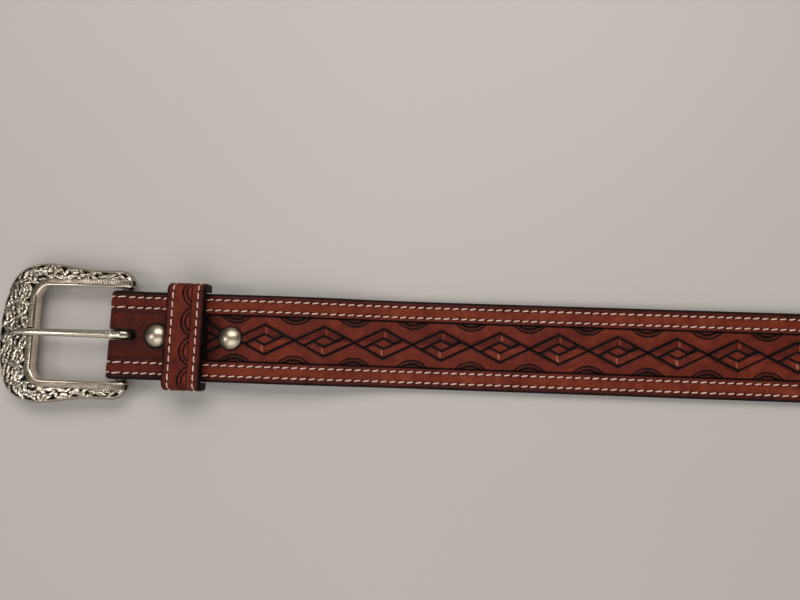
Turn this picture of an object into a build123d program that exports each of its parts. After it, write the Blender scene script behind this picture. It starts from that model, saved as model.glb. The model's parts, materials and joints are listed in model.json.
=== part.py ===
"""Western leather belt with a stamped strap and a cast buckle, laid straight with its face up.

+X runs along the strap from the buckle to the tip, +Z is up from the table that the belt lies
on, and the origin is on the table under the middle of the belt. Places along the strap are
given as stations: millimetres from the outer edge of the fold that holds the buckle.
Each ply of the strap is tooled leather with a thin lining. Heights inside a ply are measured
from the free face of its lining, which lies inside the fold and on the table.
"""
from build123d import *
from math import atan2, degrees, radians, sqrt, tan, asin
import os

os.makedirs("parts", exist_ok=True)

# Strap, and how far a cutting shape reaches past what it cuts
strap_width = 38.1
cut_overrun = 1.0
leather_thick = 2.8
lining_thick = 1.0
ply_thick = lining_thick + leather_thick
ply_middle = ply_thick / 2
tip_station = 1040.0
tip_side_radius = 38.0
tip_nose_radius = 6.0

# Stamped pattern: the diamonds cross once a pitch
stamp_pitch = 25.4
first_crossing = 56.2

# Two rows of stitches along each edge, drawn down into a groove
stitch_insets = (2.75, 7.25)
thread_width = 0.9
thread_depth = 0.4

# Fold around the buckle bar, eased back to two flat plies, and the turned-back flap
bar_radius = 2.0
fold_inner_radius = 2.5
bar_station = fold_inner_radius + ply_thick
bar_height = fold_inner_radius + ply_thick
fold_end_station = 17.0
glue_line = 0.1
flap_end_station = 62.0
slot_end_station = 12.8
slot_width = 5.0

# Run down from the doubled end to the table
sag_start_station = 70.0
sag_end_station = 140.0

# The strap bends at these places, half way between two crossings of the pattern
hinge_count = 13
hinge_first_station = first_crossing + stamp_pitch / 2
hinge_spacing = 3 * stamp_pitch
hinge_limit = 25.0
hinge_spare_angle = 0.1
hinge_clearance = 0.05

# Punched holes for the prong
hole_radius = 2.4
hole_count = 5
hole_first_station = first_crossing + 32 * stamp_pitch

# Buckle frame
frame_front = -51.0
frame_back = 9.5
frame_half_width = 30.6
frame_waist_half_width = 28.1
frame_end_radius = 6.0
frame_brow = (-48.4, 18.3)
frame_shoulder = (-42.4, 27.2)
frame_widest_station = -30.0
frame_waist_station = -10.0
frame_waist_spread = 0.1
window_front = -33.0
window_half_width = 20.9
window_corner_radius = 6.0
frame_top_heights = (5.4, 10.1, 8.9)
frame_under_heights = (0.0, 5.2, 4.1)
frame_crest_station = -20.0
bow_overhang = 0.5
frame_edge_radius = 1.0

# Prong: the heights of its lower and upper lines at four stations
prong_ring_radius = 4.0
prong_ring_bore = 2.1
prong_base_width = 4.2
prong_body_width = 3.6
prong_tip_width = 2.8
prong_tip_station = -43.5
prong_collar_station = 0.7
prong_edge_radius = 0.8
prong_stations = (bar_station, -10.0, window_front, prong_tip_station)
prong_under_heights = (8.5, 8.1, 7.9, 6.2)
prong_top_heights = (10.3, 10.4, 9.9, 7.9)
notch_gap = 0.15
notch_side_gap = 0.3

# Keeper: a loop of plain leather that slides between the two screws
keeper_station = 27.9
keeper_length = 16.5
keeper_thick = 2.2
keeper_half_width = 22.9
keeper_height = 17.1
keeper_corner = 4.0
keeper_seam = 0.3
keeper_stitch_inset = 2.9
staple_length = 9.0
staple_width = 1.0
staple_thick = 0.5
staple_leg_height = 1.1

# Screw posts through both plies
post_stations = (21.9, 54.2)
post_head_radius = 4.75
post_rim = 0.5
post_dome = 2.1
post_barrel_radius = 2.5
post_hole_radius = 2.6
screw_head_thick = 1.2
screw_shank_radius = 1.6
screw_shank_gap = 0.05
screw_reach = 5.0
screw_edge = 0.3
screw_slot_width = 1.0
screw_slot_depth = 0.6
part_names = ("front", "rear")

# Worked out from the driving dimensions
middle_station = (tip_station + frame_front) / 2
top_ply_height = bar_height + glue_line / 2
flap_lining_height = bar_height - glue_line / 2
face_height = top_ply_height + ply_thick
flap_under_height = flap_lining_height - ply_thick
half_width = strap_width / 2
hinge_stations = [hinge_first_station + hinge_spacing * i for i in range(hinge_count)]
hole_stations = [hole_first_station + stamp_pitch * i for i in range(hole_count)]
stitch_rows = [side * (half_width - inset) for side in (-1, 1) for inset in stitch_insets]
ease_run = fold_end_station - bar_station
ease_drop = fold_inner_radius - glue_line / 2
ease_radius = (ease_run**2 - ease_drop**2) / (2 * ease_drop) - glue_line / 2
ease_angle = degrees(atan2(ease_radius + glue_line / 2, ease_run))
sag_run = sag_end_station - sag_start_station
sag_radius = (sag_run**2 + top_ply_height**2) / (4 * top_ply_height)
sag_turn = degrees(asin(sag_run / 2 / sag_radius))


def x_at(station):
    """Turn a station into an X coordinate of the part."""
    return station - middle_station


tip_reach = sqrt((tip_side_radius - tip_nose_radius) ** 2 - (tip_side_radius - half_width) ** 2)
tip_arc_x = x_at(tip_station - tip_nose_radius - tip_reach)


def end_gap(height):
    """Half the gap between two strap pieces: a V each way from the hinge line."""
    slope = tan(radians(hinge_limit / 2 + hinge_spare_angle))
    return hinge_clearance + abs(height - ply_middle) * slope


def end_corners(station, side, base, low, high):
    """Corners of a strap piece's end, from low to high; side is 1 at its start, -1 at its end."""
    heights = [low, ply_middle, high] if low < ply_middle < high else [low, high]
    return [(x_at(station) + side * end_gap(h), base + h) for h in heights]


def fold_face(height):
    """One face of the folded ply, between the end of the flat top and the flat flap."""
    bar = (x_at(bar_station), bar_height)
    ease_x = x_at(fold_end_station)
    radius = ease_radius - height
    CenterArc((ease_x, top_ply_height + ease_radius), radius, 270, ease_angle - 90)
    CenterArc(bar, fold_inner_radius + height, ease_angle, 360 - 2 * ease_angle)
    CenterArc((ease_x, flap_lining_height - ease_radius), radius, 90, 90 - ease_angle)


def fold_section(low, high):
    """Section of the first strap piece between two heights of its ply."""
    fold_x = x_at(fold_end_station)
    flap_x = x_at(flap_end_station)
    with BuildLine() as outline:
        fold_face(low)
        fold_face(high)
        end = end_corners(hinge_stations[0], -1, top_ply_height, low, high)
        Polyline((fold_x, top_ply_height + low), *end, (fold_x, top_ply_height + high))
        Polyline(
            (fold_x, flap_lining_height - low),
            (flap_x, flap_lining_height - low),
            (flap_x, flap_lining_height - high),
            (fold_x, flap_lining_height - high),
        )
    make_face(outline.edges())


def sag_face(height):
    """One face of the strap where it runs down to the table: two equal tangent arcs."""
    rise = height - ply_middle
    upper = (x_at(sag_start_station), top_ply_height + ply_middle - sag_radius)
    lower = (x_at(sag_end_station), ply_middle + sag_radius)
    CenterArc(upper, sag_radius + rise, 90, -sag_turn)
    CenterArc(lower, sag_radius - rise, 270, -sag_turn)


def sag_section(low, high):
    """Section of the second strap piece, which comes down to the table."""
    top_x = x_at(sag_start_station)
    foot_x = x_at(sag_end_station)
    start = end_corners(hinge_stations[0], 1, top_ply_height, low, high)
    end = end_corners(hinge_stations[1], -1, 0, low, high)
    with BuildLine() as outline:
        sag_face(low)
        sag_face(high)
        Polyline((top_x, top_ply_height + low), *start, (top_x, top_ply_height + high))
        Polyline((foot_x, low), *end, (foot_x, high))
    make_face(outline.edges())


def flat_section(low, high, start_station, end_station):
    """Section of a strap piece that lies flat on the table."""
    start = end_corners(start_station, 1, 0, low, high)
    end = end_corners(end_station, -1, 0, low, high)
    with BuildLine() as outline:
        Polyline(*start, *reversed(end), close=True)
    make_face(outline.edges())


def strap_section(piece, low, high):
    """Section along the strap of one piece, between two heights of its ply."""
    if piece == 0:
        fold_section(low, high)
    elif piece == 1:
        sag_section(low, high)
    elif piece < hinge_count:
        flat_section(low, high, hinge_stations[piece - 1], hinge_stations[piece])
    else:
        flat_section(low, high, hinge_stations[-1], tip_station + strap_width)


def tip_plan(inset, mode=Mode.ADD):
    """Plan of the pointed end, drawn in from its edge by an inset."""
    side = tip_side_radius - inset
    nose = max(tip_nose_radius - inset, 0)
    drop = tip_side_radius - half_width
    end_angle = degrees(asin(drop / (side - nose)))
    start_x = x_at(hinge_stations[-1] - strap_width)
    edge = half_width - inset
    with BuildLine() as outline:
        for mirrored in (1, -1):
            Line((start_x, mirrored * edge), (tip_arc_x, mirrored * edge))
            centre = (tip_arc_x, -mirrored * drop)
            CenterArc(centre, side, mirrored * 90, mirrored * (end_angle - 90))
        if nose:
            CenterArc((x_at(tip_station - tip_nose_radius), 0), nose, -end_angle, 2 * end_angle)
        Line((start_x, edge), (start_x, -edge))
    make_face(outline.edges(), mode=mode)


def trim_tip():
    """Keep what lies inside the pointed end's outline."""
    with BuildSketch(Plane.XY) as plan:
        tip_plan(0)
    extrude(plan.sketch, amount=ply_thick, mode=Mode.INTERSECT)


def cut_slot():
    """Cut the prong's slot through the fold and both plies."""
    radius = slot_width / 2
    with BuildSketch(Plane.XY) as plan:
        with Locations((x_at(slot_end_station - radius), 0)):
            Circle(radius)
        with Locations((x_at((slot_end_station - radius - cut_overrun) / 2), 0)):
            Rectangle(slot_end_station - radius + cut_overrun, slot_width)
    extrude(plan.sketch, amount=2 * bar_height, mode=Mode.SUBTRACT)


def cut_round(stations, radius):
    """Punch round holes down through the strap."""
    with BuildSketch(Plane.XY) as plan:
        with Locations(*[(x_at(station), 0) for station in stations]):
            Circle(radius)
    extrude(plan.sketch, amount=2 * bar_height, mode=Mode.SUBTRACT)


def punch(piece):
    """Cut the slot, the post holes or the prong holes that one strap piece has."""
    if piece == 0:
        cut_slot()
        cut_round(post_stations, post_hole_radius)
    start = ([0] + hinge_stations)[piece]
    end = (hinge_stations + [tip_station])[piece]
    inside = [station for station in hole_stations if start < station < end]
    if inside:
        cut_round(inside, hole_radius)


def make_thread(piece):
    """The four stitch rows of one strap piece, as strips that lie in their grooves."""
    bottom = ply_thick - thread_depth
    with BuildPart() as thread:
        if piece < hinge_count:
            for row in stitch_rows:
                with BuildSketch(Plane.XZ.offset(row)):
                    strap_section(piece, bottom, ply_thick)
                extrude(amount=thread_width / 2, both=True)
        else:
            for inset in stitch_insets:
                with BuildSketch(Plane.XY.offset(bottom)):
                    tip_plan(inset - thread_width / 2)
                    tip_plan(inset + thread_width / 2, Mode.SUBTRACT)
                extrude(amount=thread_depth)
            with BuildSketch(Plane.XZ):
                strap_section(piece, bottom, ply_thick)
            extrude(amount=half_width, both=True, mode=Mode.INTERSECT)
    return thread.part


def make_ply(piece, low, high):
    """One strap piece between two heights of its ply, with its holes."""
    with BuildPart() as ply:
        with BuildSketch(Plane.XZ):
            strap_section(piece, low, high)
        extrude(amount=half_width, both=True)
        if piece == hinge_count:
            trim_tip()
        punch(piece)
    return ply.part


for piece in range(hinge_count + 1):
    thread = make_thread(piece)
    thread.label = f"strap_thread_{piece:02d}"
    export_step(thread, f"parts/{thread.label}.step")

    with BuildPart() as leather:
        add(make_ply(piece, lining_thick, ply_thick))
        add(thread, mode=Mode.SUBTRACT)
    leather.part.label = f"strap_leather_{piece:02d}"
    export_step(leather.part, f"parts/{leather.part.label}.step")

    lining = make_ply(piece, 0, lining_thick)
    lining.label = f"strap_lining_{piece:02d}"
    export_step(lining, f"parts/{lining.label}.step")


def prong_points(heights):
    """Points of one of the prong's long lines, from the bar to the tip."""
    return [(x_at(station), z) for station, z in zip(prong_stations, heights)]


# Buckle frame: a bowed casting, open at the back, with its bar cast in
with BuildPart() as buckle_frame:
    with BuildSketch(Plane.XY):
        with BuildLine():
            end_x = x_at(frame_back - frame_end_radius)
            Spline(
                (x_at(frame_front), 0),
                (x_at(frame_brow[0]), frame_brow[1]),
                (x_at(frame_shoulder[0]), frame_shoulder[1]),
                (x_at(frame_widest_station), frame_half_width),
                (x_at(frame_waist_station), frame_waist_half_width + frame_waist_spread),
                (end_x, frame_waist_half_width),
                tangents=((0, 1), (1, 0)),
            )
            CenterArc((end_x, frame_waist_half_width - frame_end_radius), frame_end_radius, 0, 90)
            Polyline(
                (x_at(frame_back), frame_waist_half_width - frame_end_radius),
                (x_at(frame_back), window_half_width),
                (x_at(window_front) + window_corner_radius, window_half_width),
            )
            CenterArc(
                (
                    x_at(window_front) + window_corner_radius,
                    window_half_width - window_corner_radius,
                ),
                window_corner_radius,
                90,
                90,
            )
            Line(
                (x_at(window_front), window_half_width - window_corner_radius),
                (x_at(window_front), 0),
            )
            mirror(about=Plane.XZ)
        make_face()
    extrude(amount=face_height + ply_thick)
    with BuildSketch(Plane.XZ):
        with BuildLine():
            bow_ends = (frame_front - bow_overhang, frame_back + bow_overhang)
            bow_stations = (bow_ends[0], frame_crest_station, bow_ends[1])
            top = [(x_at(s), z) for s, z in zip(bow_stations, frame_top_heights)]
            under = [(x_at(s), z) for s, z in zip(bow_stations, frame_under_heights)]
            ThreePointArc(*top)
            ThreePointArc(*under)
            Line(top[0], under[0])
            Line(top[-1], under[-1])
        make_face()
    extrude(amount=frame_half_width + cut_overrun, both=True, mode=Mode.INTERSECT)
    bowed_faces = buckle_frame.faces().sort_by(SortBy.AREA)[-2:]
    fillet(bowed_faces.sort_by(Axis.Z)[-1].edges(), frame_edge_radius)
    with BuildSketch(Plane.XZ):
        with Locations((x_at(bar_station), bar_height)):
            Circle(bar_radius)
    extrude(amount=window_half_width + cut_overrun, both=True)
    with BuildSketch(Plane.XZ):
        with BuildLine():
            bed = [(x, z - notch_gap) for x, z in prong_points(prong_under_heights)[2:]]
            bed_end = (bed[-1][0] - notch_side_gap, bed[-1][1])
            above = face_height + ply_thick
            Polyline(*bed, bed_end, (bed_end[0], above), (bed[0][0], above), close=True)
        make_face()
    extrude(amount=prong_tip_width / 2 + notch_side_gap, both=True, mode=Mode.SUBTRACT)
buckle_frame.part.label = "buckle_frame"
export_step(buckle_frame.part, "parts/buckle_frame.step")


# Prong: a ring on the bar and a tapering finger that rests in the frame's notch
with BuildPart() as buckle_prong:
    with BuildSketch(Plane.XZ):
        with BuildLine():
            under = prong_points(prong_under_heights)
            Polyline(*under, *reversed(prong_points(prong_top_heights)), close=True)
        make_face()
        with Locations((x_at(bar_station), bar_height)):
            Circle(prong_ring_radius)
    extrude(amount=prong_base_width / 2, both=True)
    with BuildSketch(Plane.XY):
        with BuildLine():
            tip_x = x_at(prong_tip_station) + prong_tip_width / 2
            ring_x = x_at(bar_station) + prong_ring_radius + cut_overrun
            Polyline(
                (tip_x, prong_tip_width / 2),
                (x_at(prong_collar_station), prong_body_width / 2),
                (x_at(prong_collar_station), prong_base_width / 2),
                (ring_x, prong_base_width / 2),
                (ring_x, 0),
            )
            CenterArc((tip_x, 0), prong_tip_width / 2, 90, 90)
            mirror(about=Plane.XZ)
        make_face()
    extrude(amount=face_height + ply_thick, mode=Mode.INTERSECT)
    with BuildSketch(Plane.XZ):
        with Locations((x_at(bar_station), bar_height)):
            Circle(prong_ring_bore)
    extrude(amount=prong_base_width, both=True, mode=Mode.SUBTRACT)
buckle_prong.part.label = "buckle_prong"
export_step(buckle_prong.part, "parts/buckle_prong.step")


def keeper_ring(start_x, length, outer_inset, inner_inset):
    """A band around the keeper between two depths below its outer face."""
    with BuildSketch(Plane.YZ.offset(start_x)) as ring:
        with Locations((0, keeper_height / 2)):
            for inset, mode in ((outer_inset, Mode.ADD), (inner_inset, Mode.SUBTRACT)):
                width = 2 * (keeper_half_width - inset)
                RectangleRounded(width, keeper_height - 2 * inset, keeper_corner - inset, mode=mode)
    extrude(ring.sketch, amount=length)


def cut_seam():
    """Open the keeper where its two ends butt together, under the strap."""
    with BuildSketch(Plane.XY) as seam:
        with Locations((keeper_middle_x, 0)):
            Rectangle(keeper_length + cut_overrun, keeper_seam)
    extrude(seam.sketch, amount=keeper_thick + cut_overrun, mode=Mode.SUBTRACT)


# Keeper: a leather loop with two stitch rows, its ends butted underneath and stapled
keeper_middle_x = x_at(keeper_station + keeper_length / 2)

with BuildPart() as keeper_staple:
    with BuildSketch(Plane.XY.offset(keeper_thick - staple_thick)):
        with Locations((keeper_middle_x, 0)):
            Rectangle(staple_width, staple_length)
    extrude(amount=staple_thick)
    with BuildSketch(Plane.XY.offset(keeper_thick - staple_thick)):
        with Locations((keeper_middle_x, 0)):
            with GridLocations(0, staple_length - staple_width, 1, 2):
                Rectangle(staple_width, staple_width)
    extrude(amount=-staple_leg_height)
keeper_staple.part.label = "keeper_staple"
export_step(keeper_staple.part, "parts/keeper_staple.step")

keeper_threads = []
for name, inset in zip(part_names, (keeper_stitch_inset, keeper_length - keeper_stitch_inset)):
    with BuildPart() as keeper_thread:
        keeper_ring(x_at(keeper_station + inset) - thread_width / 2, thread_width, 0, thread_depth)
        cut_seam()
    keeper_thread.part.label = f"keeper_thread_{name}"
    export_step(keeper_thread.part, f"parts/keeper_thread_{name}.step")
    keeper_threads.append(keeper_thread.part)

with BuildPart() as keeper_loop:
    keeper_ring(x_at(keeper_station), keeper_length, 0, keeper_thick)
    cut_seam()
    for piece in (*keeper_threads, keeper_staple.part):
        add(piece, mode=Mode.SUBTRACT)
keeper_loop.part.label = "keeper_loop"
export_step(keeper_loop.part, "parts/keeper_loop.step")


# Screw posts: a domed post from above and a slotted screw from below
for name, station in zip(part_names, post_stations):
    section = Plane(origin=(x_at(station), 0, 0), x_dir=(1, 0, 0), z_dir=(0, -1, 0))
    spin = Axis((x_at(station), 0, 0), (0, 0, 1))
    shank_top = flap_under_height + screw_reach
    with BuildPart() as post:
        with BuildSketch(section):
            with BuildLine():
                rim_corner = (post_head_radius, face_height + post_rim)
                bore = screw_shank_radius + screw_shank_gap
                TangentArc((0, face_height + post_rim + post_dome), rim_corner, tangent=(1, 0))
                Polyline(
                    rim_corner,
                    (post_head_radius, face_height),
                    (post_barrel_radius, face_height),
                    (post_barrel_radius, flap_under_height),
                    (bore, flap_under_height),
                    (bore, shank_top + screw_shank_gap),
                    (0, shank_top + screw_shank_gap),
                    (0, face_height + post_rim + post_dome),
                )
            make_face()
        revolve(axis=spin)
    post.part.label = f"post_{name}"
    export_step(post.part, f"parts/post_{name}.step")

    with BuildPart() as screw:
        with BuildSketch(section):
            with BuildLine():
                head_bottom = flap_under_height - screw_head_thick
                Polyline(
                    (0, head_bottom),
                    (post_head_radius - screw_edge, head_bottom),
                    (post_head_radius, head_bottom + screw_edge),
                    (post_head_radius, flap_under_height),
                    (screw_shank_radius, flap_under_height),
                    (screw_shank_radius, shank_top),
                    (0, shank_top),
                    close=True,
                )
            make_face()
        revolve(axis=spin)
        with BuildSketch(Plane.XY.offset(head_bottom)):
            with Locations((x_at(station), 0)):
                Rectangle(screw_slot_width, 2 * post_head_radius + cut_overrun)
        extrude(amount=screw_slot_depth, mode=Mode.SUBTRACT)
    screw.part.label = f"screw_{name}"
    export_step(screw.part, f"parts/screw_{name}.step")
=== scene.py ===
"""Looks of the stamped western belt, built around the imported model's fixed frame.

Sizes are in millimetres until a mesh is made. A place along the strap is a station: millimetres
from the outer edge of the fold that holds the buckle. A height in a ply is measured from the
free face of its lining. Relief is measured from the plain face of the leather.
"""
import json
import math

import bpy
import numpy as np
from mathutils import Matrix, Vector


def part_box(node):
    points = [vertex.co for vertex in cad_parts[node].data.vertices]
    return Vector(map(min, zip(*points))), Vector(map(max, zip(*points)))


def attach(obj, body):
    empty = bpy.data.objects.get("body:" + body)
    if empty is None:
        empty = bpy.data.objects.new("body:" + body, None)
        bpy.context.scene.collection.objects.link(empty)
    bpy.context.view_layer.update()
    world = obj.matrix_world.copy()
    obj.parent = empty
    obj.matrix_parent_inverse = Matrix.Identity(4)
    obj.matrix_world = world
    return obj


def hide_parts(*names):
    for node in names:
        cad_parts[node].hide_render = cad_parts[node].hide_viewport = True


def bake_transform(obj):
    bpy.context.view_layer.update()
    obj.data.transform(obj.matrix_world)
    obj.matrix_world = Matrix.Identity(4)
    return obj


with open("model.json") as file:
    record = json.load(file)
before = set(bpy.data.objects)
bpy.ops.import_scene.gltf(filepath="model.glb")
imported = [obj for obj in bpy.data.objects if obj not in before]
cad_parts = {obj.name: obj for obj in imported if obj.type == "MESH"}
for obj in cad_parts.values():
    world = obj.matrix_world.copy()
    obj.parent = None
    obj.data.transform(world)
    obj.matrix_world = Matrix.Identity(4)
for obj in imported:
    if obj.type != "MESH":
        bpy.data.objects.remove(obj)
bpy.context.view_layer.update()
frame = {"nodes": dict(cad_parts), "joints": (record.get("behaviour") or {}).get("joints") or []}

MM = 0.001
SHARP_ANGLE = math.radians(55)


def corner(node, which):
    """Lowest (0) or highest (1) corner of a CAD node, in millimetres."""
    return np.array(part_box(node)[which]) / MM


def joint_place(name):
    """Where a joint of the frame turns, in millimetres."""
    found = next(joint for joint in frame["joints"] if joint["name"] == name)
    return np.array(found["pos_m"]) / MM


# Places that the frame gives
FOLD_X = corner("strap_leather_00", 0)[0]
HALF_WIDTH = corner("strap_leather_02", 1)[1]
PLY = corner("strap_leather_02", 1)[2]
LINING = corner("strap_lining_02", 1)[2]
TIP = corner("strap_leather_13", 1)[0] - FOLD_X
BAR_STATION, _, BAR_HEIGHT = joint_place("buckle_swing") - (FOLD_X, 0, 0)
BENDS = [joint["name"] for joint in frame["joints"] if joint["name"].startswith("strap_bend")]
HINGES = [joint_place(name)[0] - FOLD_X for name in BENDS]
TOP_PLY = joint_place(BENDS[0])[2] - PLY / 2
FLAP_PLY = 2 * BAR_HEIGHT - TOP_PLY
FACE = TOP_PLY + PLY
KEEPER_START = corner("keeper_loop", 0)[0] - FOLD_X
KEEPER_LENGTH = corner("keeper_loop", 1)[0] - FOLD_X - KEEPER_START
KEEPER_HALF = corner("keeper_loop", 1)[1]
KEEPER_HEIGHT = corner("keeper_loop", 1)[2]
FRAME_FRONT = corner("buckle_frame", 0)[0] - FOLD_X
FRAME_BACK = corner("buckle_frame", 1)[0] - FOLD_X
PRONG_TIP = corner("buckle_prong", 0)[0] - FOLD_X
POSTS = {name: corner("post_" + name, 0)[0] - FOLD_X for name in ("front", "rear")}
POST_RADIUS = corner("post_front", 1)[1]
POST_FOOT = corner("post_front", 0)[2]
POST_TOP = corner("post_front", 1)[2]

# The strap's own sizes, as in the design
FOLD_END = 17.0
FLAP_END = 62.0
SLOT_END = 12.8
SLOT_HALF = 2.3
SAG = (70.0, 140.0)
TIP_SIDE_RADIUS = 38.0
TIP_NOSE_RADIUS = 6.0
PITCH = 25.4
CROSSING = HINGES[0] - PITCH / 2
HOLES = [CROSSING + PITCH * (32 + i) for i in range(5)]
HOLE_RADIUS = 2.4
EDGE_RADIUS = 1.3
BREAKS = [CROSSING + PITCH * (2 + 3 * i) for i in range(len(HINGES) - 1)]

# The tooling
STITCH_PITCH = PITCH * 3 / 20
STITCH_INSETS = (2.75, 7.25)
STITCH_LENGTH = 3.15
STITCH_RADIUS = 0.32
STITCH_SLANT = math.radians(9)
BORDER_INSET = 9.05
PANEL_START = CROSSING - PITCH / 2
DIAMOND_HALF = 6.36
INNER_DIAMOND_HALF = 2.35
CRESCENT_HALF = 6.75
CRESCENT_DEPTH = 3.35
SPOKE_PITCH = 0.85
CHANNEL_HALF = 0.85

GRID_STEP = 0.35


# --- camera, light and floor

def add_object(name, data):
    """A new object in the scene."""
    thing = bpy.data.objects.new(name, data)
    bpy.context.scene.collection.objects.link(thing)
    return thing


def stand(thing, place, axes):
    """Put a thing at a place in millimetres, its own axes along three directions."""
    turned = Matrix(np.column_stack(axes).tolist()).to_4x4()
    thing.matrix_world = Matrix.Translation(tuple(np.array(place) * MM)) @ turned


def make_camera():
    """A phone's wide view from above the buckle end, as the belt lies on a table."""
    data = bpy.data.cameras.new("camera")
    data.sensor_width = 36
    data.lens = 27
    data.clip_start = 0.01
    camera = add_object("camera", data)
    right = np.array((0.99900, 0.03446, -0.02830))
    up = np.array((-0.03129, 0.99392, 0.10554))
    stand(camera, (FOLD_X + 134.7, -8.1, 266.1), (right, up, np.cross(right, up)))
    bpy.context.scene.camera = camera


def add_light(name, place, aim, size, power, colour):
    """A soft light at a place, turned towards another, both in millimetres from the fold."""
    data = bpy.data.lights.new(name, "AREA")
    data.shape = "RECTANGLE"
    data.size, data.size_y = size
    data.energy = power
    data.color = colour
    start = np.array(place) + (FOLD_X, 0, 0)
    direction = np.array(aim) + (FOLD_X, 0, 0) - start
    direction = direction / np.linalg.norm(direction)
    side = np.cross(direction, (0, 1, 0.001))
    side = side / np.linalg.norm(side)
    stand(add_object(name, data), start, (side, np.cross(side, direction), -direction))


def make_lights():
    """Soft lights over both sides of the belt, and one beyond its buckle end."""
    add_light("ceiling", (150, 440, 620), (150, 60, 0), (0.70, 0.40), 3.35, (1.0, 0.975, 0.94))
    add_light("back", (150, -380, 560), (150, -40, 0), (0.70, 0.44), 1.4, (1.0, 0.98, 0.96))
    add_light("left", (-720, -110, 860), (20, 0, 0), (0.36, 0.16), 1.6, (1.0, 0.98, 0.95))


def make_world():
    """A room that is dark overhead and pale to both sides of the belt."""
    world = bpy.data.worlds.new("room")
    world.use_nodes = True
    place = add_node(world, "TexCoord").outputs["Generated"]
    parts = add_node(world, "SeparateXYZ", {0: place}).outputs
    side = compute(world, "MULTIPLY_ADD", parts["Y"], 0.5, 0.5)
    by_height = ((0.0, 0.20), (0.2, 0.74), (0.5, 0.74), (0.8, 0.5), (1.0, 0.36))
    by_side = ((0.0, 0.6), (0.34, 0.75), (0.46, 0.26), (0.52, 0.05))
    by_side += ((0.64, 0.08), (0.76, 0.24), (1.0, 0.32))
    warm = [(at, (level, level * 0.975, level * 0.95)) for at, level in by_height]
    even = [(at, (level, level, level)) for at, level in by_side]
    back = world.node_tree.nodes["Background"].inputs
    connect(world, ramped(world, parts["Z"], warm), back["Color"])
    connect(world, ramped(world, side, even), back["Strength"])
    bpy.context.scene.world = world
    bpy.context.scene.view_settings.view_transform = "Standard"


def make_floor():
    """A plain pale table top."""
    half = 2500.0
    low = -0.05
    points = [(-half, -half, low), (half, -half, low), (half, half, low), (-half, half, low)]
    material = new_material("table_top", {"Roughness": 0.62})
    cloud = noise(material, add_node(material, "TexCoord").outputs["Object"], 3.0, 2.0)
    tint(material, cloud, [(0.3, (0.53, 0.50, 0.47)), (0.7, (0.56, 0.53, 0.50))])
    floor = make_mesh("table", points, [(0, 1, 2, 3)], material)


# --- shader helpers

def srgb(red, green, blue):
    """Linear colour of a screen colour given from 0 to 255."""
    levels = np.array((red, green, blue)) / 255
    return tuple(np.where(levels > 0.04045, ((levels + 0.055) / 1.055) ** 2.4, levels / 12.92))


def new_material(name, sockets):
    """A node material with some of its shader's sockets set."""
    material = bpy.data.materials.new(name)
    material.use_nodes = True
    for socket, value in sockets.items():
        shader_input(material, socket).default_value = value
    return material


def shader_input(material, socket):
    """A socket of a material's shader."""
    return material.node_tree.nodes["Principled BSDF"].inputs[socket]


def connect(material, output, socket):
    """Link an output to a socket."""
    material.node_tree.links.new(output, socket)


def add_node(material, kind, inputs=None, **settings):
    """A shader node with its settings, and its inputs linked or set."""
    node = material.node_tree.nodes.new("ShaderNode" + kind)
    for key, value in settings.items():
        setattr(node, key, value)
    for key, value in (inputs or {}).items():
        if isinstance(value, bpy.types.NodeSocket):
            connect(material, value, node.inputs[key])
        else:
            node.inputs[key].default_value = value
    return node


def compute(material, operation, *values):
    """What a maths node makes of some outputs and numbers."""
    return add_node(material, "Math", dict(enumerate(values)), operation=operation).outputs[0]


def blend_sum(material, terms):
    """The sum of some outputs or numbers, each times its weight."""
    total = 0.0
    for value, weight in terms:
        total = compute(material, "MULTIPLY_ADD", value, weight, total)
    return total


def field(material, name, output="Fac"):
    """A value that a mesh holds at its points."""
    return add_node(material, "Attribute", attribute_name=name).outputs[output]


def place_field(material):
    """The place on the leather before it was bent, in millimetres."""
    return field(material, "place", "Vector")


def noise(material, place, scale, detail):
    """A cloudy value from 0 to 1; a larger scale makes smaller clouds."""
    inputs = {"Vector": place, "Scale": scale, "Detail": detail}
    return add_node(material, "TexNoise", inputs).outputs["Fac"]


def ramped(material, value, stops):
    """The colour that a value gets from stops: places from 0 to 1 with linear colours."""
    ramp = add_node(material, "ValToRGB", {"Fac": value})
    elements = ramp.color_ramp.elements
    while len(elements) < len(stops):
        elements.new(0.5)
    for element, (at, colour) in zip(elements, stops):
        element.position = at
        element.color = (*colour, 1)
    return ramp.outputs["Color"]


def tint(material, value, stops):
    """Colour the surface by a value."""
    connect(material, ramped(material, value, stops), shader_input(material, "Base Color"))


def roughen(material, terms):
    """Make the surface as rough as the sum of some terms."""
    connect(material, blend_sum(material, terms), shader_input(material, "Roughness"))


def add_bump(material, height, depth):
    """Raise the surface by a height from 0 to 1, times a depth in millimetres."""
    bump = add_node(material, "Bump", {"Height": height, "Distance": depth * MM, "Strength": 1.0})
    connect(material, bump.outputs["Normal"], shader_input(material, "Normal"))


# --- materials

LEATHER_TONES = [
    (0.00, srgb(166, 124, 104)),
    (0.15, srgb(134, 62, 42)),
    (0.30, srgb(110, 42, 26)),
    (0.45, srgb(86, 29, 19)),
    (0.62, srgb(60, 19, 14)),
    (0.80, srgb(26, 8, 6)),
    (1.00, srgb(6, 2, 2)),
]


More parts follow.
